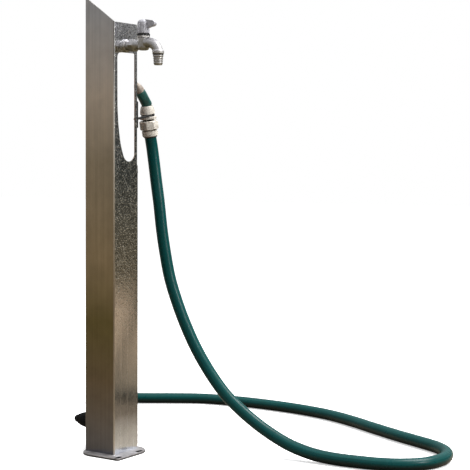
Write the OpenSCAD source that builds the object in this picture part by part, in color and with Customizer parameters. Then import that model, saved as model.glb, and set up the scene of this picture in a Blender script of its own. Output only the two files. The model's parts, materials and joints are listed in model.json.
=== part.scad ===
/* [Column] */
// Outside width of the square column
col_w = 80; // [76:1:86]
// Sheet thickness of the folded column
sheet = 2; // [1.5:0.5:2.5]
// Height of the front wall's top edge above the ground
front_h = 918; // [912:1:926]
// Height of the rear left peak above the ground
peak_h = 976; // [950:1:1000]
// Width of the return lips on the service side
lip_w = 8; // [7:1:9]

/* [Base] */
// How far the base plate reaches to the left of the column axis
plate_left = 64; // [62:1:66]
// How far the base plate reaches to the service side of the column axis
plate_right = 54; // [52:1:60]
// How far the base plate reaches in front of the column axis
plate_front = 70; // [69:1:72]
// How far the base plate reaches behind the column axis
plate_back = 46; // [44:1:54]
// Thickness of the base plate
plate_t = 4; // [3:0.5:6]
// Radius of the base plate's two side corners
plate_r = 40; // [36:1:40]

/* [Tap] */
// Height of the tap's axis
tap_z = 869; // [868:0.5:870]
// Distance of the valve's axis in front of the column axis
valve_y = 87; // [87:1:88]
// Distance of the outlet's axis in front of the column axis
outlet_y = 126; // [124:1:128]
// Radius of the handle's knob
knob_r = 13; // [12:0.5:13.5]
// Rise of the valve from shut to fully open
valve_rise = 4; // [3:0.5:4]

/* [Inlet] */
// Height of the rear inlet's axis
inlet_z = 60; // [58:1:66]

/* [Hose] */
// Outside radius of the garden hose
hose_r = 13; // [12:0.5:13]
// Lean of the parked connector towards the column
lean_a = 11; // [11:1:11]
// Lean of the nozzle tip towards the column
lean_b = 41; // [40:1:42]

/* [Hidden] */
$fn = 48;
h = col_w / 2;
tz = tap_z;
vy = -valve_y;
oy = -outlet_y;
hose_sides = 12;

// Foot of the parked connector, where the hose leaves it
park = [104, -25, 679];
// Length of the parked connector up to the nozzle's bend
bend_t = 72;
bend = [park[0] - bend_t * sin(lean_a), park[1], park[2] + bend_t * cos(lean_a)];
// Hose end on the ground and its heading
tail = [412, 349, 20.2];
tail_az = 123.7;

// Points that the hose's middle follows, from the parked connector to its end
route = [
    [104, -25, 679], [109.5, -26, 652], [112, -30, 615], [112, -36, 575], [111, -44, 530],
    [110, -52, 475], [110, -61, 425], [111, -73, 370], [113, -90, 320], [116, -111, 270],
    [120, -137, 219], [125, -168, 171], [130, -205, 126], [135, -240, 96], [140, -275, 71],
    [145, -315, 48], [149, -360, 29], [153, -410, 17], [156, -460, 13], [159, -508, 13],
    [168, -556, 13], [189, -601, 13], [228, -635, 13], [279, -646, 13], [329, -632, 13], [366, -596, 13],
    [392, -546, 13], [424, -474, 13], [466, -390, 13], [510, -305, 13], [542, -225, 13], [560, -135, 13], [566, -45, 13],
    [562, 45, 13], [543, 140, 13], [504, 211, 13], [472, 260, 13], [453, 288, 13.5],
    [440, 307, 15.2], [426, 328, 18.4], [412, 349, 20.2]
];

// ---------- shared shapes ----------
module rrect(x0, x1, y0, y1, r) {
    translate([x0 + r, y0]) square([x1 - x0 - 2 * r, y1 - y0]);
    translate([x0, y0 + r]) square([x1 - x0, y1 - y0 - 2 * r]);
    for (p = [[x0 + r, y0 + r], [x1 - r, y0 + r], [x0 + r, y1 - r], [x1 - r, y1 - r]])
        translate(p) circle(r);
}
// Cylinder lying along -Y from y0 to y1 (y1 < y0)
module ycyl(r, y0, y1, z, n = 48) {
    translate([0, y0, z]) rotate([90, 0, 0]) cylinder(r = r, h = y0 - y1, $fn = n);
}
module hexrod(af, y0, y1, z) { ycyl(af / sqrt(3), y0, y1, z, 6); }
module at_park() { translate(park) rotate([0, -lean_a, 0]) children(); }
module at_tip() { translate(bend) rotate([0, -lean_b, 0]) children(); }
module at_tail() { translate(tail) rotate([0, 0, tail_az]) rotate([0, 90, 0]) children(); }
function arc(cx, cz, r, a0, a1, n) = [for (i = [0:n]) [cx + r * cos(a0 + (a1 - a0) * i / n), cz + r * sin(a0 + (a1 - a0) * i / n)]];

// ---------- column ----------
cover_z = [30, 320, 600];
module column_shell() {
    color([0.62, 0.61, 0.58]) difference() {
        translate([0, 0, plate_t]) linear_extrude(peak_h - plate_t) difference() {
            rrect(-h, h, -h, h, 3);
            rrect(-h + sheet, h - sheet, -h + sheet, h - sheet, 1);
            translate([h - sheet - 1, -h + lip_w]) square([sheet + 2, col_w - 2 * lip_w]);
        }
        // level top of the front wall and of the service side
        translate([-h + sheet, -h - 1, front_h]) cube([col_w + 2, col_w - sheet + 1, peak_h]);
        // slanted top of the left wall
        translate([-h - 1, 0, 0]) rotate([90, 0, 90]) linear_extrude(sheet + 1.01)
            polygon([[-h - 1, front_h - 1 * (peak_h - front_h) / col_w], [h + 1, peak_h + 1 * (peak_h - front_h) / col_w], [h + 1, peak_h + 90], [-h - 1, peak_h + 90]]);
        // slanted top of the rear wall
        translate([0, h + 1, 0]) rotate([90, 0, 0]) linear_extrude(sheet + 1.02)
            polygon([[h + 1, front_h - 1 * (peak_h - front_h) / col_w], [-h - 1, peak_h + 1 * (peak_h - front_h) / col_w], [-h - 1, peak_h + 90], [h + 1, peak_h + 90]]);
        // tall window in the front wall
        translate([0, -h + sheet + 1, 0]) rotate([90, 0, 0]) linear_extrude(sheet + 2)
            polygon(concat(arc(10.5, 643.5, 21, 0, -160, 14), [[-14, 648], [-18.5, 662], [-23, 685], [-26, 706], [-28.5, 740]], arc(-17, 843, 12, 184, 90, 6), arc(27.5, 851, 4, 90, 0, 4)));
        // tap shank, rear inlet and clip screws
        ycyl(10, -h + 4, -h - 1, tz);
        ycyl(10, h + 1, h - 4, inlet_z);
        for (z = [250, 540]) ycyl(2, h + 1, h - 4, z);
        // cover screws and holder rivets in the lips
        for (z = cover_z, s = [-1, 1]) translate([h - 4, s * (h - 5), z]) rotate([0, 90, 0]) cylinder(r = 2, h = 8, $fn = 24);
        for (s = [-1, 1]) translate([h - 4, s * (h - 5), 888]) rotate([0, 90, 0]) cylinder(r = 2, h = 8, $fn = 24);
        for (z = [703, 745]) translate([h - 4, -h + 4.4, z]) rotate([0, 90, 0]) cylinder(r = 1.3, h = 8, $fn = 24);
    }
}
// Outline of the plate: a tight front left corner, two wide side corners
module plate_outline() {
    rn = 6;
    rb = 20;
    polygon(concat(
        arc(-plate_left + rn, -plate_front + rn, rn, 180, 270, 8),
        arc(plate_right - plate_r, -plate_front + plate_r, plate_r, 270, 360, 24),
        arc(plate_right - rb, plate_back - rb, rb, 0, 90, 14),
        arc(-plate_left + plate_r, plate_back - plate_r, plate_r, 90, 180, 24)));
}
module base_plate() {
    color([0.66, 0.65, 0.63]) difference() {
        linear_extrude(plate_t) plate_outline();
        for (x = [-52, 18]) {
            for (e = [-5, 5]) translate([x + e, -61, -1]) cylinder(r = 4, h = plate_t + 2);
            translate([x - 5, -65, -1]) cube([10, 8, plate_t + 2]);
        }
        for (x = [-53, 47]) translate([x, 22, -1]) cylinder(r = 3.5, h = plate_t + 2);
    }
}
module top_cap() {
    color([0.6, 0.6, 0.58]) translate([0, 0, front_h - 14]) linear_extrude(sheet) rrect(-h + sheet, h - sheet, -h + sheet, h - sheet, 1);
}
module cover(z0, z1, holes) {
    difference() {
        translate([h, 0, 0]) rotate([90, 0, 90]) linear_extrude(1.5) rrect(-h + 1, h - 1, z0, z1, 3);
        for (z = holes, s = [-1, 1]) translate([h - 1, s * (h - 5), z]) rotate([0, 90, 0]) cylinder(r = 2, h = 4, $fn = 24);
    }
}
module lower_side_cover() { color([0.6, 0.6, 0.58]) cover(10, 616, cover_z); }
module upper_side_cover() { color([0.6, 0.6, 0.58]) cover(862, 914, [888]); }
module pan_screw_x() {
    rotate([0, 90, 0]) {
        translate([0, 0, -5.5]) cylinder(r = 2, h = 5.6, $fn = 24);
        difference() {
            cylinder(r1 = 3.6, r2 = 3, h = 2.2, $fn = 24);
            translate([-0.5, -2.2, 1.2]) cube([1, 4.4, 2]);
            translate([-2.2, -0.5, 1.2]) cube([4.4, 1, 2]);
        }
    }
}
module cover_screws() {
    color("silver") {
        for (z = cover_z, s = [-1, 1]) translate([h + 1.5, s * (h - 5), z]) pan_screw_x();
        for (s = [-1, 1]) translate([h + 1.5, s * (h - 5), 888]) pan_screw_x();
    }
}

// ---------- pipework ----------
module riser_pipe() {
    color([0.72, 0.45, 0.3]) difference() {
        translate([0, 0, inlet_z + 8]) cylinder(r = 7.5, h = tz - 16 - inlet_z);
        translate([0, 0, inlet_z]) cylinder(r = 6.5, h = tz - inlet_z + 10);
    }
}
module elbow(dir) {
    // corner at the origin, one leg along dir*Y and one along -dir*Z
    difference() {
        union() {
            sphere(r = 11);
            translate([0, 0, dir > 0 ? 0 : -14]) cylinder(r = 11, h = 14);
            translate([0, 0, dir > 0 ? 8 : -24]) cylinder(r = 12.5, h = 16);
            translate([0, dir > 0 ? 14 : 0, 0]) rotate([90, 0, 0]) cylinder(r = 11, h = 14);
            translate([0, dir > 0 ? 28 : -14, 0]) rotate([90, 0, 0]) cylinder(r = 13, h = 14);
        }
        sphere(r = 6.5);
        translate([0, 0, dir > 0 ? 0 : -30]) cylinder(r = 6.5, h = 30);
        translate([0, 0, dir > 0 ? 8 : -30]) cylinder(r = 7.5, h = 22);
        translate([0, dir > 0 ? 30 : 0, 0]) rotate([90, 0, 0]) cylinder(r = 6.5, h = 30);
        translate([0, dir > 0 ? 30 : -16, 0]) rotate([90, 0, 0]) cylinder(r = 10, h = 14);
    }
}
module lower_elbow() { color([0.7, 0.55, 0.28]) translate([0, 0, inlet_z]) elbow(1); }
module upper_elbow() { color([0.7, 0.55, 0.28]) translate([0, 0, tz]) elbow(-1); }
module pipe_clips() {
    color([0.2, 0.2, 0.2]) for (z = [250, 540]) translate([0, 0, z]) difference() {
        union() {
            translate([0, 0, -7]) cylinder(r = 10.5, h = 14);
            ycyl(5, h - sheet, 8, 0);
            ycyl(9, h - sheet, h - sheet - 3, 0);
        }
        translate([0, 0, -8]) cylinder(r = 7.5, h = 16);
        ycyl(2, h, h - sheet - 14, 0);
        translate([-4, -14, -8]) cube([8, 8, 16]);
    }
}
module clip_screws() {
    color("silver") for (z = [250, 540]) {
        ycyl(2, h + 0.5, h - sheet - 12, z, 24);
        difference() {
            translate([0, h, z]) rotate([-90, 0, 0]) cylinder(r1 = 4, r2 = 3.2, h = 2.4, $fn = 24);
            translate([-0.6, h + 1.4, z - 2.4]) cube([1.2, 3, 4.8]);
            translate([-2.4, h + 1.4, z - 0.6]) cube([4.8, 3, 1.2]);
        }
    }
}
module inlet_nipple() {
    color([0.72, 0.58, 0.3]) difference() {
        ycyl(10, 58, 16, inlet_z);
        ycyl(6, 59, 15, inlet_z);
    }
}
module inlet_backnut() {
    color([0.72, 0.58, 0.3]) difference() {
        hexrod(27, h - sheet, h - sheet - 6, inlet_z);
        ycyl(10, h, h - sheet - 8, inlet_z);
    }
}
module inlet_washer() {
    color([0.1, 0.1, 0.1]) difference() {
        ycyl(15, h + 2, h, inlet_z);
        ycyl(10, h + 3, h - 1, inlet_z);
    }
}
module inlet_adaptor() {
    color([0.06, 0.06, 0.06]) difference() {
        translate([0, h + 2, inlet_z]) rotate([-90, 0, 0]) {
            rotate_extrude() polygon([[0, 0], [16, 0], [16.5, 1], [16.5, 27], [15.6, 28], [15.6, 33], [15, 34], [13.4, 41],
                [11, 42.5], [11, 47], [8, 48.5], [8, 49.5], [6.6, 49.5], [6.6, 52.7], [8, 52.7], [8, 54.5], [6.6, 57.2], [5.8, 58], [0, 58]]);
            for (i = [0:17]) rotate([0, 0, i * 20]) translate([16, 0, 3]) cylinder(r = 1.1, h = 22, $fn = 16);
        }
        ycyl(10, 58, h, inlet_z);
        ycyl(4.5, h + 70, 50, inlet_z);
    }
}
module adaptor_o_ring() {
    color([0.1, 0.1, 0.1]) translate([0, h + 2 + 51.1, inlet_z]) rotate([-90, 0, 0])
        rotate_extrude() polygon([[6.6, -1.2], [7.7, -1.2], [8.3, -0.6], [8.3, 0.6], [7.7, 1.2], [6.6, 1.2]]);
}

// ---------- tap ----------
module tap_backnut() {
    color([0.72, 0.58, 0.3]) difference() {
        hexrod(27, -h + sheet + 6, -h + sheet, tz);
        ycyl(10, 0, -h, tz);
    }
}
module wall_flange() {
    color([0.75, 0.75, 0.74]) difference() {
        translate([0, -h, tz]) rotate([90, 0, 0]) rotate_extrude() polygon([[10, 0], [14.5, 0], [14.5, 2], [13.6, 4], [12, 5], [10, 5]]);
    }
}
module tap_body() {
    color([0.72, 0.71, 0.69]) difference() {
        union() {
            ycyl(10, -16, -h - 5, tz);
            ycyl(11.4, -h - 5, -h - 15, tz);
            hexrod(25, -h - 14, -h - 26, tz);
            translate([0, -h - 25, tz]) rotate([90, 0, 0]) rotate_extrude() polygon([[0, 0], [12.2, 0], [12.2, 1.4], [11.4, 3.4], [10.4, 6], [0, 6]]);
            ycyl(10.4, -h - 30, vy, tz);
            translate([0, vy, tz - 12.5]) rotate_extrude() polygon([[0, 1], [7.6, 1], [10.6, 2.4], [12.2, 5.5], [12.5, 9], [12.5, 27], [12, 27.5], [0, 27.5]]);
            ycyl(10.8, vy, oy + 24.7, tz + 3.7);
            translate([0, oy + 24.7, tz - 21]) rotate([90, 0, -90]) rotate_extrude(angle = 90) translate([24.7, 0]) circle(10.8);
            translate([0, oy, tz - 21]) rotate_extrude() polygon([[0, 0], [12, 0], [12.4, 0.6], [12.4, 6], [11.6, 7.6], [10.2, 8.8], [0, 8.8]]);
            translate([0, oy, tz - 34]) cylinder(r = 6.5, h = 14);
        }
        // inlet way under the seat, seat hole, valve chamber
        ycyl(4, -10, vy - 3, tz - 5);
        translate([0, vy, tz - 6]) cylinder(r = 3.5, h = 8);
        translate([0, vy, tz]) cylinder(r = 9, h = 20);
        translate([0, vy, tz + 5]) cylinder(r = 10, h = 20);
        // outlet way
        ycyl(5, vy - 7, oy + 24.7, tz + 3.7);
        translate([0, oy + 24.7, tz - 21]) rotate([90, 0, -90]) rotate_extrude(angle = 90) translate([24.7, 0]) circle(5);
        translate([0, oy, tz - 40]) cylinder(r = 5, h = 19);
    }
}
module bonnet() {
    color([0.76, 0.75, 0.73]) translate([0, vy, tz]) difference() {
        union() {
            translate([0, 0, 5]) cylinder(r = 10, h = 11);
            translate([0, 0, 15]) rotate([0, 0, 30]) cylinder(r = 14.6, h = 4, $fn = 6);
            translate([0, 0, 17]) cylinder(r = 10.5, h = 4.4);
        }
        translate([0, 0, 4]) cylinder(r = 6.8, h = 13.4);
        translate([0, 0, 10]) cylinder(r = 4.05, h = 14);
    }
}
module gland_ring() {
    color([0.07, 0.07, 0.07]) translate([0, vy, tz + 19]) difference() {
        cylinder(r = 14, h = 4.2);
        translate([0, 0, -1]) cylinder(r = 10.5, h = 7);
    }
}
module spindle() {
    color([0.72, 0.58, 0.3]) translate([0, vy, tz]) difference() {
        union() {
            translate([0, 0, 10.2]) cylinder(r = 3.4, h = 7);
            translate([0, 0, 16.8]) cylinder(r = 4, h = 29);
        }
        translate([0, 0, 18]) rotate_extrude() translate([3.3, 0]) square([2, 1.8]);
        translate([0, 0, 21.6]) rotate_extrude() translate([3.2, 0]) square([2, 0.8]);
        translate([0, 0, 34]) cylinder(r = 1.6, h = 14, $fn = 24);
    }
}
module spindle_o_ring() {
    color([0.08, 0.08, 0.08]) translate([0, vy, tz + 18]) rotate_extrude() polygon([[3.3, 0.1], [3.9, 0.1], [4.03, 0.5], [4.03, 1.3], [3.9, 1.7], [3.3, 1.7]]);
}
module spindle_clip() {
    color([0.3, 0.3, 0.3]) translate([0, vy, tz + 21.65]) difference() {
        cylinder(r = 6.4, h = 0.7);
        translate([0, 0, -1]) cylinder(r = 3.2, h = 3);
        translate([0, -1.6, -1]) cube([9, 3.2, 3]);
    }
}
module handle() {
    color([0.7, 0.7, 0.72]) translate([0, vy, tz + 24]) difference() {
        union() {
            rotate_extrude() polygon([[0, 0], [knob_r - 0.6, 0], [knob_r, 0.8], [knob_r, 20], [knob_r - 0.5, 23.4], [knob_r - 1.8, 26.2], [knob_r - 4, 28.4], [knob_r - 7, 29.6], [0, 30]]);
            // wing
            intersection() {
                translate([-4.5, -33, 0]) cube([9, 33, 40]);
                rotate([90, 0, 90]) translate([0, 0, -5]) linear_extrude(10)
                    polygon(concat([[0, 7], [-12, 10.5], [-20, 13]], arc(-25.5, 20, 6.5, 250, 90, 8), [[-25, 26.5], [-12, 29], [0, 29]]));
            }
        }
        for (i = [0:17]) rotate([0, 0, 10 + i * 20]) translate([knob_r + 0.9, 0, 2]) cylinder(r = 1.5, h = 20, $fn = 16);
        translate([0, 0, -1]) cylinder(r = 8, h = 4);
        translate([0, 0, -1]) cylinder(r = 4, h = 22.8);
        translate([0, 0, 10]) cylinder(r = 1.7, h = 24, $fn = 24);
        translate([0, 0, 25]) cylinder(r = 4.2, h = 10);
    }
}
module handle_screw() {
    color("silver") translate([0, vy, tz + 24]) {
        translate([0, 0, 12]) cylinder(r = 1.6, h = 13.2, $fn = 24);
        translate([0, 0, 25]) difference() {
            cylinder(r = 3.2, h = 2.2, $fn = 32);
            translate([-0.5, -2.4, 1.2]) cube([1, 4.8, 2]);
        }
    }
}
module handle_button() {
    color([0.62, 0.62, 0.64]) translate([0, vy, tz + 24 + 27.4]) rotate_extrude() polygon([[0, 0], [4.2, 0], [4.2, 2.2], [3.2, 3], [1.6, 3.3], [0, 3.4]]);
}
module valve_jumper() {
    color([0.72, 0.58, 0.3]) translate([0, vy, tz]) difference() {
        union() {
            translate([0, 0, 3.1]) cylinder(r = 6.5, h = 9.6);
            translate([0, 0, 1]) cylinder(r = 1.5, h = 3);
        }
        translate([0, 0, 6]) cylinder(r = 3.6, h = 8);
    }
}
module seat_washer() {
    color([0.09, 0.09, 0.09]) translate([0, vy, tz + 0.1]) difference() {
        cylinder(r = 6.4, h = 3);
        translate([0, 0, -1]) cylinder(r = 1.5, h = 6, $fn = 24);
    }
}
module outlet_gasket() {
    color([0.06, 0.06, 0.06]) translate([0, oy, tz - 23.4]) difference() {
        cylinder(r = 11.4, h = 2.4);
        translate([0, 0, -1]) cylinder(r = 6.5, h = 5);
    }
}
module outlet_nose() {
    color([0.7, 0.69, 0.67]) translate([0, oy, tz - 44.4]) difference() {
        rotate_extrude() polygon([[4.5, 0], [7.8, 0], [8.8, 1], [9, 3], [9.9, 3.6], [9.9, 5.4], [9.1, 6], [9.2, 7.6], [10.2, 8.2], [10.2, 10],
            [9.3, 10.6], [9.4, 12.2], [10.5, 12.8], [10.5, 14.6], [9.6, 15.2], [9.7, 16.6], [11, 17.4], [11, 21], [4.5, 21]]);
        translate([0, 0, 10.4]) cylinder(r = 6.5, h = 12);
    }
}

// ---------- parked hose end ----------
module hose_holder() {
    color([0.1, 0.1, 0.1]) difference() {
        union() {
            translate([h, 0, 0]) rotate([90, 0, 90]) linear_extrude(2.5) rrect(-h + 0.5, -h + 7, 695, 753, 2.5);
            intersection() {
                at_park() translate([-70, -14.5, 45]) cube([66, 10.5, 3.5]);
                translate([h, -60, 600]) cube([200, 80, 300]);
            }
            at_park() translate([0, 0, 45]) cylinder(r = 15, h = 3.5);
        }
        at_park() translate([0, 0, 40]) cylinder(r = 10.2, h = 14);
        at_park() translate([0, -10.2, 40]) cube([30, 20.4, 14]);
        for (z = [703, 745]) translate([h - 4, -h + 4.4, z]) rotate([0, 90, 0]) cylinder(r = 1.3, h = 12, $fn = 24);
    }
}
module holder_rivets() {
    color("silver") for (z = [703, 745]) translate([h, -h + 4.4, z]) rotate([0, 90, 0]) {
        translate([0, 0, -3.4]) cylinder(r = 1.3, h = 6, $fn = 24);
        translate([0, 0, -3.6]) cylinder(r = 1.5, h = 1.6, $fn = 24);
        translate([0, 0, 2.5]) cylinder(r1 = 2.4, r2 = 1.4, h = 1.4, $fn = 24);
    }
}
module nozzle_tip() {
    color([0.86, 0.82, 0.77]) at_tip() difference() {
        rotate_extrude() polygon([[0, 35.3], [9.9, 35.3], [10.5, 36], [10.4, 38.6], [9.5, 43.6], [8, 49], [6.2, 53.4], [5, 55.4], [3.8, 56.2], [0, 56.2]]);
        translate([0, 0, 33]) cylinder(r = 5.55, h = 18);
        translate([0, 0, 43]) cylinder(r = 2.2, h = 40);
    }
}
module nozzle_o_ring() {
    color([0.08, 0.08, 0.08]) at_tip() translate([0, 0, 43]) rotate_extrude() polygon([[4.4, 0], [5.2, 0], [5.48, 0.4], [5.48, 1.4], [5.2, 1.8], [4.4, 1.8]]);
}
module nozzle_body() {
    color([0.05, 0.3, 0.26]) difference() {
        union() {
            at_park() translate([0, 0, bend_t - 12]) cylinder(r = 10.8, h = 12);
            translate(bend) sphere(r = 11.6);
            at_tip() rotate_extrude() polygon([[0, 0], [11.3, 0], [11.4, 8], [11.2, 16], [11.4, 22], [11, 30], [10.8, 34], [10.2, 35], [5.5, 35], [5.5, 42.9], [4.4, 42.9], [4.4, 44.9], [5.5, 44.9], [5.5, 49], [0, 49]]);
        }
        at_tip() cylinder(r = 3.5, h = 80);
        at_park() translate([0, 0, 50]) cylinder(r = 4, h = bend_t - 49);
    }
}
module nozzle_adaptor() {
    color([0.86, 0.83, 0.77]) at_park() difference() {
        rotate_extrude() polygon([[0, 26], [6.8, 26], [7.9, 27.4], [7.9, 31], [6.5, 31], [6.5, 34], [7.9, 34], [7.9, 44.3], [10, 44.3], [10, 49],
            [16.2, 49], [16.8, 49.8], [16.6, 53], [15.8, 58], [14.6, 62.5], [13.6, 65.8], [12.8, 67.4], [0, 67.4]]);
        translate([0, 0, 60]) cylinder(r = 11.2, h = 15);
        translate([0, 0, 20]) cylinder(r = 4.5, h = 60);
    }
}
module adaptor_seal() {
    color([0.08, 0.08, 0.08]) at_park() rotate_extrude() polygon([[6.5, 31.2], [7.4, 31.2], [7.98, 31.8], [7.98, 33.2], [7.4, 33.8], [6.5, 33.8]]);
}
// Outside of a ring with a grooved grip
module coupler_ring() {
    difference() {
        rotate_extrude() polygon([[12.35, 38], [17.8, 38], [18.5, 38.8], [18.5, 43], [17.8, 43.9], [12.35, 43.9]]);
        for (i = [0:23]) rotate([0, 0, i * 15]) translate([19.2, 0, 37]) cylinder(r = 1.1, h = 8, $fn = 16);
    }
}
module coupler_body() {
    difference() {
        rotate_extrude() polygon([[8, 12.4], [12, 12.4], [12, 34.6], [12.3, 34.9], [12.3, 44.1], [8, 44.1]]);
    }
}
module coupler_nut() {
    difference() {
        intersection() {
            translate([0, 0, 14.8]) rotate([0, 0, 22.5]) cylinder(r = 21.6, h = 19.7, $fn = 8);
            rotate_extrude() polygon([[0, 14.8], [18.8, 14.8], [21.2, 17], [21.2, 32], [18.8, 34.5], [0, 34.5]]);
        }
        translate([0, 0, 10]) cylinder(r = 12, h = 30);
    }
}
module coupler_collar() {
    difference() {
        rotate_extrude() polygon([[9, 0], [16.2, 0], [17, 0.8], [17.4, 3], [17.6, 11], [17, 12.4], [9, 12.4]]);
        for (t = [3.4, 6.4, 9.4]) translate([0, 0, t]) rotate_extrude() translate([17, 0]) square([2, 0.8]);
    }
}
// Rubber lip where the hose enters a collar
module coupler_ferrule() { rotate_extrude() polygon([[13.4, -2.4], [14.6, -2.4], [15.2, -1.6], [15.2, 0], [13.4, 0]]); }
module connector_ferrule() { color([0.05, 0.05, 0.05]) at_park() coupler_ferrule(); }
module connector_ring() { color([0.88, 0.85, 0.8]) at_park() coupler_ring(); }
module connector_body() { color([0.08, 0.08, 0.08]) at_park() coupler_body(); }
module connector_nut() { color([0.86, 0.82, 0.76]) at_park() coupler_nut(); }
module connector_collar() { color([0.86, 0.83, 0.78]) at_park() coupler_collar(); }

// ---------- hose ----------
function cr(a, b, c, d, t) = 0.5 * ((2 * b) + (c - a) * t + (2 * a - 5 * b + 4 * c - d) * t * t + (3 * b - a - 3 * c + d) * t * t * t);
nr = len(route);
first_dir = [sin(lean_a), 0, -cos(lean_a)];
last_dir = [cos(tail_az), sin(tail_az), 0];
function ctrl(i) = i < 0 ? route[0] - 28 * first_dir : i >= nr ? route[nr - 1] + 36 * last_dir : route[i];
ring_list = concat([for (i = [0:nr - 2], k = [0:1]) let (t = k / 2) cr(ctrl(i - 1), ctrl(i), ctrl(i + 1), ctrl(i + 2), t)], [route[nr - 1]]);
nring = len(ring_list);
function unit(v) = v / norm(v);
function tangent(i) = i == 0 ? first_dir : i == nring - 1 ? last_dir : unit(ring_list[i + 1] - ring_list[i - 1]);
function side_of(t) = unit(cross(t, abs(t[2]) > 0.9 ? [0, 1, 0] : [0, 0, 1]));
// frame carried along the hose so that it does not twist
function carry(i, u) = let (t = tangent(i)) unit(u - (u * t) * t);
function frames(i, u, acc) = i == nring ? acc : let (v = carry(i, u)) frames(i + 1, v, concat(acc, [v]));
hose_frames = frames(0, side_of(first_dir), []);
hose_pts = [for (i = [0:nring - 1], k = [0:hose_sides - 1])
    let (u = hose_frames[i], w = cross(tangent(i), u), a = 360 * k / hose_sides,
        p = ring_list[i] + hose_r * (cos(a) * u + sin(a) * w)) [p[0], p[1], max(p[2], 0)]];
hose_faces = concat(
    [[for (k = [0:hose_sides - 1]) k]],
    [for (i = [0:nring - 2], k = [0:hose_sides - 1]) let (n = (k + 1) % hose_sides)
        each [[i * hose_sides + k, (i + 1) * hose_sides + k, (i + 1) * hose_sides + n], [i * hose_sides + k, (i + 1) * hose_sides + n, i * hose_sides + n]]],
    [[for (k = [hose_sides - 1:-1:0]) (nring - 1) * hose_sides + k]]);
module garden_hose() { color([0.03, 0.28, 0.26]) polyhedron(hose_pts, hose_faces, convexity = 8); }

module end_ferrule() { color([0.05, 0.05, 0.05]) at_tail() coupler_ferrule(); }
module end_collar() { color([0.86, 0.83, 0.78]) at_tail() coupler_collar(); }
module end_nut() { color([0.86, 0.82, 0.76]) at_tail() coupler_nut(); }
module end_body() { color([0.08, 0.08, 0.08]) at_tail() coupler_body(); }
module end_ring() { color([0.88, 0.85, 0.8]) at_tail() coupler_ring(); }

column_shell();
base_plate();
top_cap();
lower_side_cover();
upper_side_cover();
cover_screws();
riser_pipe();
pipe_clips();
clip_screws();
lower_elbow();
inlet_nipple();
inlet_backnut();
inlet_washer();
inlet_adaptor();
adaptor_o_ring();
upper_elbow();
tap_backnut();
wall_flange();
tap_body();
bonnet();
gland_ring();
spindle();
spindle_o_ring();
spindle_clip();
handle();
handle_screw();
handle_button();
valve_jumper();
seat_washer();
outlet_gasket();
outlet_nose();
hose_holder();
holder_rivets();
nozzle_tip();
nozzle_o_ring();
nozzle_body();
nozzle_adaptor();
adaptor_seal();
connector_ring();
connector_body();
connector_nut();
connector_collar();
connector_ferrule();
garden_hose();
end_ferrule();
end_collar();
end_nut();
end_body();
end_ring();
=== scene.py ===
import bpy, bmesh, json, math
from mathutils import Vector, Matrix


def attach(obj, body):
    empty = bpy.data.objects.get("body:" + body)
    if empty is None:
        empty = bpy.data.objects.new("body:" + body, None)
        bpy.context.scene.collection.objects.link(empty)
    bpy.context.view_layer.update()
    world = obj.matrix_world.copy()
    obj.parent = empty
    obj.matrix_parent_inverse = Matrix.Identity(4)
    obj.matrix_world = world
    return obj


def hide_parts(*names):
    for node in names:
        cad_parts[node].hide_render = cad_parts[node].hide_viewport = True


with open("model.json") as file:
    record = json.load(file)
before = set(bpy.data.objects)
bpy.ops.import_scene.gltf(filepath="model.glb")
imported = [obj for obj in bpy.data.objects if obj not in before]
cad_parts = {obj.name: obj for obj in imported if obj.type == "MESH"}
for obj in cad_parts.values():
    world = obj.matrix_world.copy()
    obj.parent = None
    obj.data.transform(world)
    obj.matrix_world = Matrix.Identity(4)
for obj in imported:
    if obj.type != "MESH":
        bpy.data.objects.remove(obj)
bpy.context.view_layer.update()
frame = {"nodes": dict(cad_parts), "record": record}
NODES = frame["nodes"]
scene = bpy.context.scene
scene.view_settings.view_transform = "Standard"
scene.view_settings.look = "None"

# ---------------------------------------------------------------- camera
cam_data = bpy.data.cameras.new("camera")
cam_data.sensor_width = 36.0
cam_data.sensor_fit = "HORIZONTAL"
cam_data.lens = 96.08
cam_data.shift_x = 0.0
cam_data.shift_y = -0.1553
cam_data.clip_end = 60.0
camera = bpy.data.objects.new("camera", cam_data)
scene.collection.objects.link(camera)
camera.location = (-2.0943, -1.7218, 0.6216)
camera.rotation_euler = (math.radians(90.0), 0.0, math.radians(-56.199))
scene.camera = camera


# ---------------------------------------------------------------- node helpers
def lin(r, g, b):
    """Screen colour from 0 to 255 to linear colour."""
    def one(c):
        c = c / 255.0
        return c / 12.92 if c <= 0.04045 else ((c + 0.055) / 1.055) ** 2.4
    return (one(r), one(g), one(b), 1.0)


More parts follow.
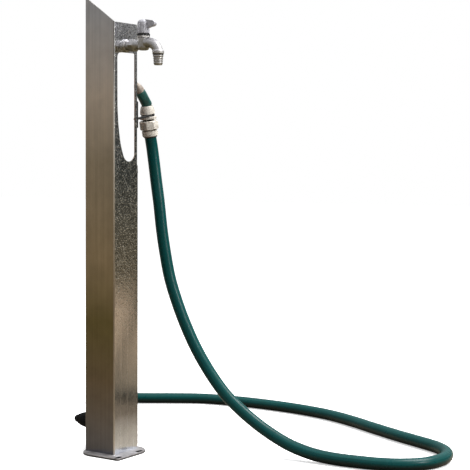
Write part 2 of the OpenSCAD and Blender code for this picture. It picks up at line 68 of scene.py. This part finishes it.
class Graph:
    """A small helper to write a material's nodes in a readable way."""

    def __init__(self, name):
        self.mat = bpy.data.materials.new(name)
        self.mat.use_nodes = True
        self.t = self.mat.node_tree
        self.t.nodes.clear()
        self.out = self.t.nodes.new("ShaderNodeOutputMaterial")
        self.b = self.t.nodes.new("ShaderNodeBsdfPrincipled")
        self.t.links.new(self.b.outputs["BSDF"], self.out.inputs["Surface"])
        self._tc = None

    def set(self, **kw):
        for k, v in kw.items():
            s = self.b.inputs[k.replace("_", " ")]
            if hasattr(v, "is_linked"):
                self.t.links.new(v, s)
            else:
                s.default_value = v

    def tc(self, which):
        if self._tc is None:
            self._tc = self.t.nodes.new("ShaderNodeTexCoord")
        return self._tc.outputs[which]

    def put(self, v, sock):
        if hasattr(v, "is_linked"):
            self.t.links.new(v, sock)
        else:
            sock.default_value = v

    def xyz(self, vec):
        n = self.t.nodes.new("ShaderNodeSeparateXYZ")
        self.t.links.new(vec, n.inputs[0])
        return n.outputs[0], n.outputs[1], n.outputs[2]

    def scale(self, vec, s, loc=(0, 0, 0)):
        n = self.t.nodes.new("ShaderNodeMapping")
        self.t.links.new(vec, n.inputs["Vector"])
        n.inputs["Scale"].default_value = s
        n.inputs["Location"].default_value = loc
        return n.outputs[0]

    def math(self, op, a, b=0.0, clamp=False):
        n = self.t.nodes.new("ShaderNodeMath")
        n.operation = op
        n.use_clamp = clamp
        self.put(a, n.inputs[0])
        self.put(b, n.inputs[1])
        return n.outputs[0]

    def span(self, v, a, b, c=0.0, d=1.0):
        n = self.t.nodes.new("ShaderNodeMapRange")
        n.clamp = True
        self.put(v, n.inputs["Value"])
        n.inputs["From Min"].default_value = a
        n.inputs["From Max"].default_value = b
        n.inputs["To Min"].default_value = c
        n.inputs["To Max"].default_value = d
        return n.outputs["Result"]

    def noise(self, vec, scale, detail=3.0, rough=0.5, distort=0.0):
        n = self.t.nodes.new("ShaderNodeTexNoise")
        self.t.links.new(vec, n.inputs["Vector"])
        n.inputs["Scale"].default_value = scale
        n.inputs["Detail"].default_value = detail
        n.inputs["Roughness"].default_value = rough
        n.inputs["Distortion"].default_value = distort
        return n.outputs["Fac"]

    def cells(self, vec, scale, rand=1.0):
        n = self.t.nodes.new("ShaderNodeTexVoronoi")
        self.t.links.new(vec, n.inputs["Vector"])
        n.inputs["Scale"].default_value = scale
        n.inputs["Randomness"].default_value = rand
        return n.outputs["Distance"], n.outputs["Color"]

    def ramp(self, fac, stops, smooth=False):
        n = self.t.nodes.new("ShaderNodeValToRGB")
        n.color_ramp.interpolation = "EASE" if smooth else "LINEAR"
        e = n.color_ramp.elements
        while len(e) < len(stops):
            e.new(0.5)
        for el, (p, c) in zip(e, stops):
            el.position = p
            el.color = c
        self.put(fac, n.inputs["Fac"])
        return n.outputs["Color"]

    def mix(self, fac, a, b, blend="MIX"):
        n = self.t.nodes.new("ShaderNodeMix")
        n.data_type = "RGBA"
        n.blend_type = blend
        n.clamp_result = False
        self.put(fac, n.inputs[0])
        self.put(a, n.inputs[6])
        self.put(b, n.inputs[7])
        return n.outputs[2]

    def bump(self, height, strength, dist, normal=None):
        n = self.t.nodes.new("ShaderNodeBump")
        n.inputs["Strength"].default_value = strength
        n.inputs["Distance"].default_value = dist
        self.t.links.new(height, n.inputs["Height"])
        if normal is not None:
            self.t.links.new(normal, n.inputs["Normal"])
        return n.outputs["Normal"]

    def edge_wear(self, radius, lo=0.02, hi=0.12):
        """0 on flat faces, 1 on sharp edges."""
        bev = self.t.nodes.new("ShaderNodeBevel")
        bev.samples = 4
        bev.inputs["Radius"].default_value = radius
        geo = self.t.nodes.new("ShaderNodeNewGeometry")
        dot = self.t.nodes.new("ShaderNodeVectorMath")
        dot.operation = "DOT_PRODUCT"
        self.t.links.new(bev.outputs[0], dot.inputs[0])
        self.t.links.new(geo.outputs["Normal"], dot.inputs[1])
        return self.span(self.math("SUBTRACT", 1.0, dot.outputs["Value"]), lo, hi)


def grey(v):
    return (v, v, v, 1.0)


# ---------------------------------------------------------------- materials
def make_steel(name, left_painted_light, front_painted_light, other_painted_light, droplets_and_glints=True, upright=True):
    """Vertically brushed stainless sheet. Its colour is painted by height, with one ramp for the left face, one for the
    front face and one for the rest: painted reflection and shade, with some weathered tint.
    """
    g = Graph(name)
    p = g.tc("Object")
    x, y, z = g.xyz(p)
    nx, ny, nz = g.xyz(g.tc("Normal"))
    on_left = g.span(nx, -0.55, -0.95)
    on_front = g.span(ny, -0.55, -0.95)
    fold = g.math("MULTIPLY", g.span(nx, -0.04, -0.3), g.span(ny, -0.04, -0.3))
    zz = g.math("ADD", z, g.math("MULTIPLY", g.math("SUBTRACT", g.noise(p, 9.0, 3.0), 0.5), 0.05))
    # painted reflection and shade: a colour ramp by height for each facing, so the left and front faces are lit and
    # shaded copies of one steel
    c = g.ramp(zz, other_painted_light)
    c = g.mix(on_left, c, g.ramp(zz, left_painted_light))
    c = g.mix(on_front, c, g.ramp(zz, front_painted_light))
    # painted highlight along the rounded corner fold, where the corner catches the light
    c = g.mix(g.math("MULTIPLY", fold, 0.9), c, g.ramp(zz, [(0.02, lin(226, 220, 212)), (0.1, lin(172, 164, 152)), (0.35, lin(166, 152, 132)), (0.54, lin(214, 204, 186)), (0.72, lin(232, 226, 218)), (0.84, lin(124, 121, 117))]))
    # brushing, fine and broad
    fine = g.noise(g.scale(p, (1400, 1400, 14)), 1.0, 2.0, 0.6)
    broad = g.noise(g.scale(p, (190, 190, 2.2)), 1.0, 3.0, 0.6)
    streak = g.math("ADD", g.math("MULTIPLY", fine, 0.35), g.math("MULTIPLY", broad, 0.65))
    c = g.mix(1.0, c, g.ramp(streak, [(0.25, grey(0.84)), (0.5, grey(1.0)), (0.75, grey(1.17))]), "MULTIPLY")
    # clouds and dried water marks
    cloud = g.noise(p, 22.0, 5.0, 0.6)
    c = g.mix(1.0, c, g.ramp(cloud, [(0.3, grey(0.9)), (0.55, grey(1.0)), (0.75, grey(1.07))]), "MULTIPLY")
    rough = g.math("SUBTRACT", g.span(streak, 0.3, 0.7, 0.3, 0.42), g.math("MULTIPLY", on_front, g.span(z, 0.65, 0.82, 0.12, 0.21)))
    rough = g.math("ADD", rough, g.math("MULTIPLY", fold, 0.25))
    normal = g.bump(fine, 0.12, 0.00008)
    if droplets_and_glints:
        # beads of water on the upper front wall, large and small; their colour is a painted glint on each bead and
        # painted shade in dark rings
        patch = g.math("MULTIPLY", g.math("MULTIPLY", g.span(g.noise(p, 26.0, 2.0), 0.2, 0.45, 0.35, 1.0), g.span(z, 0.22, 0.40, 0.15, 1.0)), g.math("SUBTRACT", on_front, fold, clamp=True))
        for size, keep, lit, shade in ((240.0, 0.62, 0.68, 0.62), (360.0, 0.5, 0.8, 0.75)):
            d, col = g.cells(p, size)
            pick = g.xyz(col)[0]
            bead = g.math("MULTIPLY", g.math("MULTIPLY", g.span(d, 0.46, 0.18), g.math("GREATER_THAN", pick, keep)), patch)
            ring = g.math("MULTIPLY", g.math("MULTIPLY", g.span(d, 0.55, 0.25), g.math("LESS_THAN", pick, 0.34)), patch)
            c = g.mix(g.math("MULTIPLY", bead, lit), c, lin(240, 240, 235))
            c = g.mix(g.math("MULTIPLY", ring, shade), c, lin(60, 62, 54))
            rough = g.math("SUBTRACT", rough, g.math("MULTIPLY", bead, 0.12))
            normal = g.bump(bead, 0.35, 0.0005, normal)
    g.set(Base_Color=c, Roughness=rough, Metallic=1.0, Normal=normal)
    if upright:
        # upright brush lines spread reflections sideways
        grain = g.t.nodes.new("ShaderNodeTangent")
        grain.direction_type = "RADIAL"
        grain.axis = "Z"
        g.set(Anisotropic=0.85, Tangent=grain.outputs[0])
    return g.mat


def make_plate():
    """Pale weathered plate, with painted shadow along the foot of its edge and painted shade in the two slots."""
    g = Graph("plate_steel")
    p = g.tc("Object")
    x, y, z = g.xyz(p)
    side = g.span(g.math("ABSOLUTE", g.xyz(g.tc("Normal"))[2]), 0.75, 0.35)
    n1 = g.noise(p, 60.0, 5.0, 0.65)
    n2 = g.noise(g.scale(p, (900, 60, 900)), 1.0, 2.0)
    c = g.ramp(n1, [(0.3, lin(136, 132, 132)), (0.55, lin(174, 170, 170)), (0.75, lin(196, 193, 194))])
    c = g.mix(1.0, c, g.ramp(n2, [(0.3, grey(0.88)), (0.7, grey(1.1))]), "MULTIPLY")
    # painted shadow under the edge, and painted shade in the two slots
    foot = g.math("MULTIPLY", side, g.span(g.math("ADD", z, g.math("MULTIPLY", n1, 0.002)), 0.0046, 0.0030))
    c = g.mix(g.math("MULTIPLY", foot, 0.9), c, lin(34, 30, 26))
    for xc in (-0.052, 0.018):
        dx = g.math("MAXIMUM", g.math("SUBTRACT", g.math("ABSOLUTE", g.math("SUBTRACT", x, xc)), 0.005), 0.0)
        dy = g.math("ADD", y, 0.061)
        d = g.math("SQRT", g.math("ADD", g.math("MULTIPLY", dx, dx), g.math("MULTIPLY", dy, dy)))
        c = g.mix(g.span(d, 0.0056, 0.0046), c, lin(22, 19, 17))
    foot_matte = g.math("MULTIPLY", foot, 0.4)
    g.set(Base_Color=c, Metallic=g.math("MULTIPLY", g.math("SUBTRACT", 1.0, foot), 0.6), Roughness=g.math("ADD", g.span(n1, 0.3, 0.7, 0.4, 0.56), foot_matte), Normal=g.bump(n2, 0.12, 0.00015))
    return g.mat


def make_metal(name, dark, mid, light, rough, scale=90.0, brushed=(1, 1, 1), tarnish=None, bump=0.08):
    """Machined or cast metal with random patches of tarnish and bright edges."""
    g = Graph(name)
    p = g.tc("Object")
    n1 = g.noise(p, scale, 5.0, 0.62)
    n2 = g.noise(g.scale(p, tuple(900.0 * s for s in brushed)), 1.0, 2.0)
    c = g.ramp(n1, [(0.3, dark), (0.52, mid), (0.74, light)])
    if tarnish is not None:
        c = g.mix(g.span(g.noise(p, scale * 2.7, 4.0, 0.7), 0.55, 0.75, 0.0, 0.7), c, tarnish)
    c = g.mix(g.math("MULTIPLY", g.edge_wear(0.0009), 0.45), c, light)
    g.set(Base_Color=c, Metallic=1.0, Roughness=g.span(n1, 0.3, 0.7, rough[0], rough[1]), Normal=g.bump(n2, bump, 0.00015))
    return g.mat


def make_chrome():
    """Dull satin chrome on a cast tap, coloured by facing: pale painted reflection above, olive painted shade and
    reflection below, with random patches of tarnish.
    """
    g = Graph("tap_chrome")
    p = g.tc("Object")
    nz = g.xyz(g.tc("Normal"))[2]
    n1 = g.noise(p, 120.0, 5.0, 0.6)
    low = g.math("ADD", nz, g.math("MULTIPLY", g.math("SUBTRACT", n1, 0.5), 0.8))
    # painted light by facing: pale on upward faces, dark olive on downward faces
    c = g.ramp(g.span(low, -0.8, 0.9), [(0.0, lin(112, 108, 88)), (0.3, lin(138, 134, 120)), (0.55, lin(176, 174, 174)), (1.0, lin(144, 143, 147))])
    c = g.mix(g.span(g.noise(p, 420.0, 4.0, 0.65), 0.54, 0.72, 0.0, 0.45), c, lin(104, 100, 88))
    c = g.mix(g.math("MULTIPLY", g.edge_wear(0.0008), 0.4), c, lin(200, 199, 203))
    d, col = g.cells(p, 520.0)
    bead = g.math("MULTIPLY", g.span(d, 0.4, 0.15), g.math("GREATER_THAN", g.xyz(col)[0], 0.6))
    g.set(Base_Color=c, Metallic=0.85, Roughness=g.span(n1, 0.3, 0.7, 0.42, 0.58), Normal=g.bump(bead, 0.15, 0.0004))
    return g.mat


def make_handle():
    g = Graph("handle_grey")
    p = g.tc("Object")
    n1 = g.noise(p, 160.0, 5.0, 0.6)
    c = g.ramp(n1, [(0.3, lin(156, 155, 161)), (0.55, lin(182, 181, 187)), (0.75, lin(196, 195, 201))])
    c = g.mix(g.math("MULTIPLY", g.edge_wear(0.0008), 0.5), c, lin(205, 204, 208))
    g.set(Base_Color=c, Metallic=0.35, Roughness=g.span(n1, 0.3, 0.7, 0.38, 0.54), Normal=g.bump(g.noise(p, 2600.0, 2.0), 0.08, 0.0001))
    return g.mat


def make_plastic(name, dark, mid, light, rough, grain=1800.0, soil=None, soil_amt=0.5, spec=0.45):
    """Moulded plastic with a fine grain, worn edges and patches and specks of soil."""
    g = Graph(name)
    p = g.tc("Object")
    n1 = g.noise(p, 70.0, 4.0, 0.6)
    fine = g.noise(p, grain, 2.0)
    c = g.ramp(n1, [(0.3, dark), (0.52, mid), (0.74, light)])
    if soil is not None:
        s = g.math("MULTIPLY", g.span(g.noise(p, 260.0, 5.0, 0.72), 0.5, 0.72), soil_amt)
        c = g.mix(s, c, soil)
        d, col = g.cells(p, 480.0)
        speck = g.math("MULTIPLY", g.span(d, 0.3, 0.12), g.math("GREATER_THAN", g.xyz(col)[0], 0.72))
        c = g.mix(g.math("MULTIPLY", speck, 0.55), c, soil)
    c = g.mix(g.math("MULTIPLY", g.edge_wear(0.0008), 0.4), c, light)
    g.set(Base_Color=c, Roughness=g.span(n1, 0.3, 0.7, rough[0], rough[1]), Specular_IOR_Level=spec, Normal=g.bump(fine, 0.12, 0.0001))
    return g.mat


def make_rubber():
    g = Graph("black_rubber")
    p = g.tc("Object")
    n1 = g.noise(p, 300.0, 4.0, 0.6)
    c = g.ramp(n1, [(0.3, grey(0.006)), (0.6, grey(0.014)), (0.8, grey(0.03))])
    g.set(Base_Color=c, Roughness=g.span(n1, 0.3, 0.7, 0.55, 0.75), Normal=g.bump(g.noise(p, 3000.0, 2.0), 0.15, 0.0001))
    return g.mat


def make_hose():
    """Smooth dark teal hose with fine lengthwise lines, scuffs and dust."""
    g = Graph("hose_green")
    uv = g.tc("UV")
    p = g.tc("Object")
    along = g.scale(uv, (40.0, 3.0, 1.0))
    lines = g.noise(along, 1.0, 3.0, 0.6)
    n1 = g.noise(p, 45.0, 4.0, 0.6)
    c = g.ramp(lines, [(0.3, lin(0, 54, 53)), (0.52, lin(1, 67, 66)), (0.75, lin(4, 82, 79))])
    c = g.mix(g.span(n1, 0.4, 0.75, 0.0, 0.5), c, lin(1, 60, 54))
    scuff = g.math("MULTIPLY", g.span(g.noise(g.scale(p, (900, 900, 140)), 1.0, 3.0, 0.7), 0.62, 0.78), g.span(g.noise(p, 24.0, 3.0), 0.5, 0.68))
    c = g.mix(g.math("MULTIPLY", scuff, 0.4), c, lin(110, 150, 142))
    dust = g.span(g.noise(p, 130.0, 5.0, 0.7), 0.62, 0.82, 0.0, 0.09)
    c = g.mix(dust, c, lin(90, 116, 106))
    # painted shade on the underside where it lies on the ground
    underside_shade = g.math("MULTIPLY", g.span(g.xyz(p)[2], 0.021, 0.008), g.span(g.xyz(g.tc("Normal"))[2], 0.5, -0.2))
    c = g.mix(g.math("MULTIPLY", underside_shade, 0.85), c, lin(0, 14, 12))
    g.set(Base_Color=c, Roughness=g.span(n1, 0.3, 0.7, 0.24, 0.36), Specular_IOR_Level=0.17, Normal=g.bump(lines, 0.1, 0.0002))
    return g.mat


# height ramps for each facing of the steel: painted reflection and shade, with some weathered tint
STEEL_LEFT_PAINTED_LIGHT = [(0.0, lin(110, 111, 118)), (0.15, lin(112, 100, 82)), (0.28, lin(118, 108, 72)), (0.42, lin(178, 160, 130)), (0.63, lin(184, 168, 143)), (0.76, lin(222, 204, 184)), (0.94, lin(198, 195, 194))]
STEEL_FRONT_PAINTED_LIGHT = [(0.02, lin(238, 244, 254)), (0.08, lin(134, 130, 128)), (0.16, lin(150, 145, 139)), (0.3, lin(212, 199, 188)), (0.4, lin(146, 142, 130)), (0.6, lin(148, 155, 153)), (0.92, lin(248, 248, 252))]
STEEL_OTHER_PAINTED_LIGHT = [(0.0, lin(172, 168, 164)), (0.1, lin(158, 148, 136)), (0.35, lin(150, 140, 124)), (0.6, lin(152, 146, 136)), (0.95, lin(168, 165, 162))]

MATS = {
    "steel": make_steel("steel", STEEL_LEFT_PAINTED_LIGHT, STEEL_FRONT_PAINTED_LIGHT, STEEL_OTHER_PAINTED_LIGHT),
    "steel_cap": make_steel("steel_cap", STEEL_LEFT_PAINTED_LIGHT, STEEL_FRONT_PAINTED_LIGHT, STEEL_OTHER_PAINTED_LIGHT, droplets_and_glints=False, upright=False),
    "plate_steel": make_plate(),
    "fastener": make_metal("fastener", lin(150, 150, 150), lin(190, 190, 188), lin(220, 220, 218), (0.22, 0.4)),
    "copper": make_metal("copper", lin(120, 70, 46), lin(172, 108, 74), lin(206, 142, 104), (0.28, 0.5), tarnish=lin(88, 58, 42)),
    "brass": make_metal("brass", lin(128, 102, 50), lin(178, 146, 78), lin(212, 184, 118), (0.24, 0.42), tarnish=lin(100, 82, 46)),
    "black_plastic": make_plastic("black_plastic", grey(0.002), grey(0.004), grey(0.010), (0.5, 0.68), spec=0.1),
    "black_rubber": make_rubber(),
    "black_steel": make_plastic("black_steel", grey(0.008), grey(0.015), grey(0.035), (0.4, 0.55), grain=1400.0),
    "tap_chrome": make_chrome(),
    "handle_grey": make_handle(),
    "cream_plastic": make_plastic("cream_plastic", lin(190, 183, 173), lin(222, 215, 204), lin(238, 232, 222), (0.44, 0.6), soil=lin(100, 89, 76), soil_amt=0.7),
    # nozzle tip: a darker copy of the cream plastic, partly its own worn tone and partly painted shade
    "cream_worn_and_shaded": make_plastic("cream_worn_and_shaded", lin(138, 126, 116), lin(170, 158, 146), lin(200, 190, 178), (0.4, 0.56), soil=lin(96, 80, 70), soil_amt=0.8),
    "green_plastic": make_plastic("green_plastic", lin(3, 56, 52), lin(8, 76, 70), lin(24, 102, 94), (0.4, 0.55), soil=lin(60, 84, 76), soil_amt=0.25),
    "hose_green": make_hose(),
}
SLOT = {s["node"]: s["material_slot"] for s in frame["record"]["subparts"]}
for name, obj in NODES.items():
    obj.data.materials.clear()
    obj.data.materials.append(MATS[{"nozzle_tip": "cream_worn_and_shaded", "top_cap": "steel_cap"}.get(name, SLOT[name])])

# ---------------------------------------------------------------- eased edges and rounded castings
BODY = {n: b for b, members in frame["record"]["behaviour"]["bodies"].items() for n in members}


def weld(ob):
    m = ob.modifiers.new("weld", "WELD")
    m.merge_threshold = 0.000004


def ease(node, width, angle=28.0, segments=2):
    """Small rounds on a node's sharp edges."""
    ob = NODES[node]
    weld(ob)
    d = ob.modifiers.new("flats", "DECIMATE")
    d.decimate_type = "DISSOLVE"
    d.angle_limit = math.radians(0.6)
    m = ob.modifiers.new("ease", "BEVEL")
    m.width = width
    m.segments = segments
    m.limit_method = "ANGLE"
    m.angle_limit = math.radians(angle)
    w = ob.modifiers.new("normals", "WEIGHTED_NORMAL")
    w.weight = 100


def casting(node, voxel, rounds):
    """A copy of a node with filled inside corners and rounded edges, as a casting or moulding has."""
    ob = bpy.data.objects.new(node + "_cast", NODES[node].data.copy())
    scene.collection.objects.link(ob)
    weld(ob)
    r = ob.modifiers.new("remesh", "REMESH")
    r.mode = "VOXEL"
    r.voxel_size = voxel
    r.use_smooth_shade = True
    m = ob.modifiers.new("smooth", "SMOOTH")
    m.factor = 0.5
    m.iterations = rounds
    me = bpy.data.meshes.new_from_object(ob.evaluated_get(bpy.context.evaluated_depsgraph_get()))
    ob.modifiers.clear()
    ob.data = me
    me.materials.clear()
    me.materials.append(MATS[SLOT[node]])
    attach(ob, BODY[node])
    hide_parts(node)
    return ob


casting("tap_body", 0.0006, 8)
casting("handle", 0.0004, 5)
for name, width in (("column_shell", 0.0004), ("base_plate", 0.0009), ("top_cap", 0.0004), ("lower_side_cover", 0.0004), ("upper_side_cover", 0.0004),
                    ("hose_holder", 0.0004), ("bonnet", 0.0005), ("gland_ring", 0.0007), ("wall_flange", 0.0004), ("outlet_gasket", 0.0006),
                    ("outlet_nose", 0.0003), ("connector_nut", 0.0009), ("end_nut", 0.0009), ("connector_collar", 0.0003), ("end_collar", 0.0003),
                    ("connector_ring", 0.0003), ("end_ring", 0.0003), ("inlet_adaptor", 0.0004), ("tap_backnut", 0.0004), ("inlet_backnut", 0.0004)):
    ease(name, width)

# ---------------------------------------------------------------- hose
ROUTE = [(104, -25, 679), (109.5, -26, 652), (112, -30, 615), (112, -36, 575), (111, -44, 530),
         (110, -52, 475), (110, -61, 425), (111, -73, 370), (113, -90, 320), (116, -111, 270),
         (120, -137, 219), (125, -168, 171), (130, -205, 126), (135, -240, 96), (140, -275, 71),
         (145, -315, 48), (149, -360, 29), (153, -410, 17), (156, -460, 13), (159, -508, 13),
         (168, -556, 13), (189, -601, 13), (228, -635, 13), (279, -646, 13), (329, -632, 13), (366, -596, 13),
         (392, -546, 13), (424, -474, 13), (466, -390, 13), (510, -305, 13), (542, -225, 13), (560, -135, 13), (566, -45, 13),
         (562, 45, 13), (543, 140, 13), (504, 211, 13), (472, 260, 13), (453, 288, 13.5),
         (440, 307, 15.2), (426, 328, 18.4), (412, 349, 20.2)]
ROUTE = [Vector(q) * 0.001 for q in ROUTE]
LEAN_A = math.radians(11.0)
TAIL_AZ = math.radians(123.7)
FIRST = Vector((math.sin(LEAN_A), 0, -math.cos(LEAN_A)))
LAST = Vector((math.cos(TAIL_AZ), math.sin(TAIL_AZ), 0))
HOSE_R = 0.013


def catmull(a, b, c, d, t):
    return 0.5 * ((2 * b) + (c - a) * t + (2 * a - 5 * b + 4 * c - d) * t * t + (3 * b - a - 3 * c + d) * t * t * t)


def hose_path(steps):
    pts = [ROUTE[0] - 0.028 * FIRST] + ROUTE + [ROUTE[-1] + 0.036 * LAST]
    out = []
    for i in range(1, len(pts) - 2):
        for k in range(steps):
            out.append(catmull(pts[i - 1], pts[i], pts[i + 1], pts[i + 2], k / steps))
    out.append(ROUTE[-1].copy())
    return out


def tube(name, path, radius, sides, first, last):
    """A closed tube with UVs: U round the hose, V along it in metres."""
    n = len(path)
    tang = [first] + [(path[i + 1] - path[i - 1]).normalized() for i in range(1, n - 1)] + [last]
    u = first.cross(Vector((0, 1, 0))).normalized()
    bm = bmesh.new()
    uvl = bm.loops.layers.uv.new("UVMap")
    rings, dist, run = [], [], 0.0
    for i, q in enumerate(path):
        u = (u - u.dot(tang[i]) * tang[i]).normalized()
        w = tang[i].cross(u)
        if i:
            run += (q - path[i - 1]).length
        dist.append(run)
        ring = []
        for k in range(sides):
            a = 2 * math.pi * k / sides
            v = q + radius * (math.cos(a) * u + math.sin(a) * w)
            v.z = max(v.z, 0.0)
            ring.append(bm.verts.new(v))
        rings.append(ring)
    for i in range(n - 1):
        for k in range(sides):
            m = (k + 1) % sides
            f = bm.faces.new((rings[i][k], rings[i][m], rings[i + 1][m], rings[i + 1][k]))
            f.smooth = True
            for loop, (uu, vv) in zip(f.loops, ((k, i), (k + 1, i), (k + 1, i + 1), (k, i + 1))):
                loop[uvl].uv = (uu / sides, dist[vv])
    bm.faces.new(list(reversed(rings[0])))
    bm.faces.new(rings[-1])
    bmesh.ops.recalc_face_normals(bm, faces=bm.faces)
    me = bpy.data.meshes.new(name)
    bm.to_mesh(me)
    bm.free()
    ob = bpy.data.objects.new(name, me)
    scene.collection.objects.link(ob)
    return ob, run


PATH = hose_path(8)
hose, hose_len = tube("hose", PATH, HOSE_R, 28, FIRST, LAST)
hose.data.materials.append(MATS["hose_green"])
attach(hose, "standpipe")
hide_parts("garden_hose")

# ---------------------------------------------------------------- stage and light
fm = Graph("floor")
fp = fm.tc("Object")
lp = fm.t.nodes.new("ShaderNodeLightPath")
pale = fm.ramp(fm.noise(fp, 3.0, 3.0), [(0.3, grey(0.9)), (0.7, grey(0.94))])
ground = fm.mix(lp.outputs["Is Diffuse Ray"], lin(162, 150, 132), lin(74, 68, 58))
fm.set(Base_Color=fm.mix(lp.outputs["Is Camera Ray"], ground, pale), Roughness=0.9, Specular_IOR_Level=0.1,
       Emission_Color=(1, 1, 1, 1), Emission_Strength=fm.math("MULTIPLY", lp.outputs["Is Camera Ray"], 0.45))
bm = bmesh.new()
bmesh.ops.create_grid(bm, x_segments=8, y_segments=8, size=14.0)
me = bpy.data.meshes.new("floor")
bm.to_mesh(me)
bm.free()
floor = bpy.data.objects.new("floor", me)
floor.location = (0, 0, -0.0004)
me.materials.append(fm.mat)
scene.collection.objects.link(floor)

world = bpy.data.worlds.new("world")
scene.world = world
world.use_nodes = True
wt = world.node_tree
wt.nodes.clear()
wo = wt.nodes.new("ShaderNodeOutputWorld")
bg = wt.nodes.new("ShaderNodeBackground")
wtc = wt.nodes.new("ShaderNodeTexCoord")
wsep = wt.nodes.new("ShaderNodeSeparateXYZ")
wr = wt.nodes.new("ShaderNodeValToRGB")
wlp = wt.nodes.new("ShaderNodeLightPath")
wmix = wt.nodes.new("ShaderNodeMix")
wmix.data_type = "RGBA"
wt.links.new(wtc.outputs["Generated"], wsep.inputs[0])
wt.links.new(wsep.outputs[2], wr.inputs["Fac"])
stops = [(0.0, (0.30, 0.295, 0.285, 1)), (0.14, (0.36, 0.36, 0.355, 1)), (0.45, (0.66, 0.67, 0.68, 1)), (1.0, (0.86, 0.87, 0.89, 1))]
while len(wr.color_ramp.elements) < len(stops):
    wr.color_ramp.elements.new(0.5)
for el, (pos, col) in zip(wr.color_ramp.elements, stops):
    el.position = pos
    el.color = col
wt.links.new(wlp.outputs["Is Camera Ray"], wmix.inputs[0])
side = wt.nodes.new("ShaderNodeMapRange")
side.inputs["From Min"].default_value = 0.1
side.inputs["From Max"].default_value = -0.5
low = wt.nodes.new("ShaderNodeMapRange")
low.inputs["From Min"].default_value = 0.22
low.inputs["From Max"].default_value = 0.03
both = wt.nodes.new("ShaderNodeMath")
both.operation = "MULTIPLY"
shade = wt.nodes.new("ShaderNodeMix")
shade.data_type = "RGBA"
wt.links.new(wsep.outputs[1], side.inputs["Value"])
wt.links.new(wsep.outputs[2], low.inputs["Value"])
wt.links.new(side.outputs["Result"], both.inputs[0])
wt.links.new(low.outputs["Result"], both.inputs[1])
wt.links.new(both.outputs[0], shade.inputs[0])
wt.links.new(wr.outputs["Color"], shade.inputs[6])
shade.inputs[7].default_value = (0.05, 0.05, 0.048, 1)
wt.links.new(shade.outputs[2], wmix.inputs[6])
wmix.inputs[7].default_value = (1, 1, 1, 1)
wt.links.new(wmix.outputs[2], bg.inputs["Color"])
bg.inputs["Strength"].default_value = 1.0
wt.links.new(bg.outputs[0], wo.inputs["Surface"])


def area(name, loc, target, size, power, color=(1, 1, 1)):
    d = bpy.data.lights.new(name, "AREA")
    d.shape = "RECTANGLE"
    d.size, d.size_y = size
    d.energy = power
    d.color = color
    o = bpy.data.objects.new(name, d)
    o.location = loc
    o.rotation_euler = (Vector(target) - Vector(loc)).to_track_quat("-Z", "Y").to_euler()
    scene.collection.objects.link(o)
    return o


area("key", (1.2, -1.5, 3.3), (0.15, -0.1, 0.4), (1.8, 1.8), 135.0)
area("side", (0.1, -2.8, 1.6), (0.1, -0.1, 0.5), (0.8, 0.9), 34.0)
area("top", (0.1, 0.2, 3.2), (0.1, 0.0, 0.0), (3.4, 3.4), 34.0)
